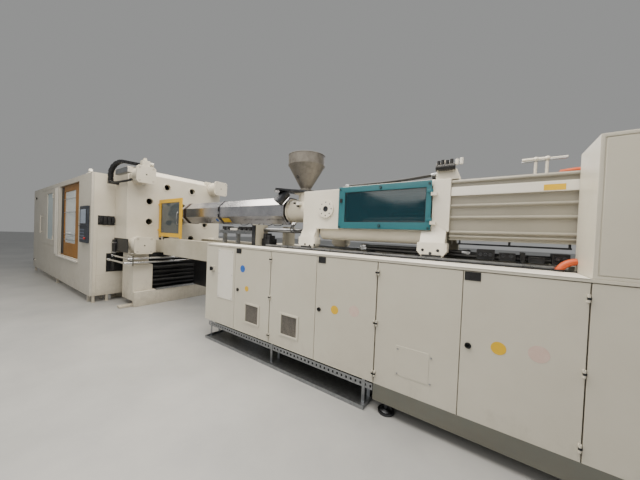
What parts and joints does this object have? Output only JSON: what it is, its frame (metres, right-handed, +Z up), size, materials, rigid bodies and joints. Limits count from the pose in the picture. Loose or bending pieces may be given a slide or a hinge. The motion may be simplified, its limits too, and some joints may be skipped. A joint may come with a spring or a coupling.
{
  "type": "injection moulding machine",
  "caption": "Horizontal injection moulding machine: two-platen clamp with gates, barrel with hopper, hydraulic injection unit and a long control cabinet.",
  "frame": {"origin": "on the floor under the injection-side face of the fixed platen, on the machine's centreline", "axes": "+X along the machine towards the injection unit, -Y towards the operator, +Z up"},
  "size_m": [13.812, 2.857, 2.865],
  "materials": {
    "casting_cream": "satin machine enamel, cream",
    "cabinet_paint": "semi-gloss powder coat, grey beige",
    "cover_grey": "powder coated sheet, light grey",
    "bed_paint": "machine enamel, warm grey",
    "machined_steel": "ground steel, oiled",
    "dark_steel": "blackened steel",
    "chrome_bar": "hard chrome",
    "shield_steel": "polished folded stainless sheet",
    "hopper_steel": "weathered stainless sheet",
    "gate_ochre": "powder coat, ochre yellow",
    "guard_yellow": "powder coat, signal yellow",
    "guard_teal": "powder coat, teal",
    "clear_pane": "clear polycarbonate",
    "tinted_pane": "tinted polycarbonate",
    "frosted_pane": "frosted polycarbonate",
    "panel_dark": "textured dark blue-grey plastic",
    "black_plastic": "black plastic",
    "stop_red": "moulded red plastic",
    "plinth_grey": "grey enamel",
    "galvanised": "galvanised sheet"
  },
  "bodies": {
    "machine": {"fixed_platen": "casting_cream", "platen_base": "casting_cream", "clamp_cylinder_caps": "casting_cream", "tie_bars": "chrome_bar", "travel_cylinders": "dark_steel", "clamp_bed": "bed_paint", "clamp_rails": "machined_steel", "front_cover": "cover_grey", "rear_cover": "cover_grey", "end_covers": "casting_cream", "control_panel": "panel_dark", "connector_bank": "black_plastic", "hydraulic_pipes": "chrome_bar", "energy_chain": "black_plastic", "levelling_feet": "dark_steel", "injection_bed": "bed_paint", "bed_rails": "machined_steel", "cabinet_shell": "cabinet_paint", "cabinet_hinges": "black_plastic", "switch_panel": "cabinet_paint", "plinth": "plinth_grey", "under_trays": "galvanised", "tall_cabinet": "cabinet_paint", "rear_covers": "cabinet_paint"},
    "moving_platen": {"moving_platen": "casting_cream", "travel_rods": "chrome_bar"},
    "ejector": {"ejector": "machined_steel"},
    "nut_halves_front": {"nut_halves_front": "machined_steel"},
    "nut_halves_rear": {"nut_halves_rear": "machined_steel"},
    "front_gate": {"front_gate": "gate_ochre", "front_gate_pane": "clear_pane"},
    "rear_gate": {"rear_gate": "gate_ochre", "rear_gate_pane": "clear_pane"},
    "service_door": {"service_door": "cover_grey", "service_pane": "frosted_pane"},
    "stop_button": {"stop_button": "stop_red"},
    "main_switch": {"main_switch": "black_plastic"},
    "cabinet_door_1": {"cabinet_door_1": "cabinet_paint"},
    "cabinet_door_2": {"cabinet_door_2": "cabinet_paint"},
    "cabinet_door_3": {"cabinet_door_3": "cabinet_paint"},
    "cabinet_door_4": {"cabinet_door_4": "cabinet_paint"},
    "cabinet_door_5": {"cabinet_door_5": "cabinet_paint"},
    "injection_carriage": {"feed_block": "casting_cream", "rear_block": "casting_cream", "guide_bars": "chrome_bar", "barrel": "dark_steel", "heat_shield": "shield_steel", "feed_throat": "casting_cream", "hopper_slide": "dark_steel", "drive_housing": "casting_cream", "cylinder_cover": "cabinet_paint", "hydraulic_cylinders": "casting_cream", "hose_manifold": "casting_cream"},
    "drive_head": {"drive_head": "dark_steel"},
    "screw": {"screw": "machined_steel"},
    "hopper": {"hopper": "hopper_steel"},
    "drive_guard": {"drive_guard": "guard_teal", "drive_guard_pane": "tinted_pane"},
    "purge_guard": {"purge_guard": "guard_yellow", "purge_guard_pane": "clear_pane"}
  },
  "joints": [
    {"name": "platen_travel", "type": "slide", "parent": "machine", "child": "moving_platen", "axis": [1, 0, 0], "range_m": [-0.35, 1.1]},
    {"name": "ejector_stroke", "type": "slide", "parent": "moving_platen", "child": "ejector", "axis": [1, 0, 0], "range_m": [0, 0.25]},
    {"name": "nut_close_front", "type": "slide", "parent": "moving_platen", "child": "nut_halves_front", "axis": [0, 1, 0], "range_m": [0, 0.045]},
    {"name": "nut_close_rear", "type": "slide", "parent": "moving_platen", "child": "nut_halves_rear", "axis": [0, -1, 0], "range_m": [0, 0.045]},
    {"name": "front_gate_slide", "type": "slide", "parent": "machine", "child": "front_gate", "axis": [-1, 0, 0], "range_m": [0, 1.7]},
    {"name": "rear_gate_slide", "type": "slide", "parent": "machine", "child": "rear_gate", "axis": [-1, 0, 0], "range_m": [0, 1.7]},
    {"name": "service_door_hinge", "type": "hinge", "parent": "machine", "child": "service_door", "pos_m": [-3.853, -1.392, 1.7], "axis": [0, 0, 1], "range_deg": [0, 110]},
    {"name": "stop_button_press", "type": "slide", "parent": "machine", "child": "stop_button", "axis": [0, 1, 0], "range_m": [0, 0.006]},
    {"name": "main_switch_turn", "type": "hinge", "parent": "machine", "child": "main_switch", "pos_m": [2.62, -0.834, 0.995], "axis": [0, 1, 0], "range_deg": [0, 90]},
    {"name": "door_1_hinge", "type": "hinge", "parent": "machine", "child": "cabinet_door_1", "pos_m": [3.749, -0.822, 0.777], "axis": [0, 0, 1], "range_deg": [0, 90]},
    {"name": "door_2_hinge", "type": "hinge", "parent": "machine", "child": "cabinet_door_2", "pos_m": [3.771, -0.822, 0.777], "axis": [0, 0, -1], "range_deg": [0, 90]},
    {"name": "door_3_hinge", "type": "hinge", "parent": "machine", "child": "cabinet_door_3", "pos_m": [5.057, -0.822, 0.777], "axis": [0, 0, 1], "range_deg": [0, 90]},
    {"name": "door_4_hinge", "type": "hinge", "parent": "machine", "child": "cabinet_door_4", "pos_m": [5.079, -0.822, 0.777], "axis": [0, 0, -1], "range_deg": [0, 90]},
    {"name": "door_5_hinge", "type": "hinge", "parent": "machine", "child": "cabinet_door_5", "pos_m": [6.365, -0.822, 0.777], "axis": [0, 0, 1], "range_deg": [0, 110]},
    {"name": "carriage_travel", "type": "slide", "parent": "machine", "child": "injection_carriage", "axis": [-1, 0, 0], "range_m": [-0.2, 0.48]},
    {"name": "injection_stroke", "type": "slide", "parent": "injection_carriage", "child": "drive_head", "axis": [1, 0, 0], "range_m": [0, 0.55]},
    {"name": "screw_turn", "type": "hinge", "parent": "drive_head", "child": "screw", "pos_m": [4.5, 0, 1.865], "axis": [1, 0, 0], "continuous": true},
    {"name": "hopper_slide", "type": "slide", "parent": "injection_carriage", "child": "hopper", "axis": [-0.6691, -0.7431, 0], "range_m": [0, 0.28]},
    {"name": "drive_guard_hinge", "type": "hinge", "parent": "injection_carriage", "child": "drive_guard", "pos_m": [5.404, -0.435, 1.83], "axis": [0, 0, 1], "range_deg": [0, 105]},
    {"name": "purge_guard_hinge", "type": "hinge", "parent": "machine", "child": "purge_guard", "pos_m": [0.014, -0.442, 1.745], "axis": [0, 0, -1], "range_deg": [0, 88]}
  ],
  "couplings": [
    {"joint": "nut_close_rear", "follows": "nut_close_front", "ratio": 1}
  ]
}
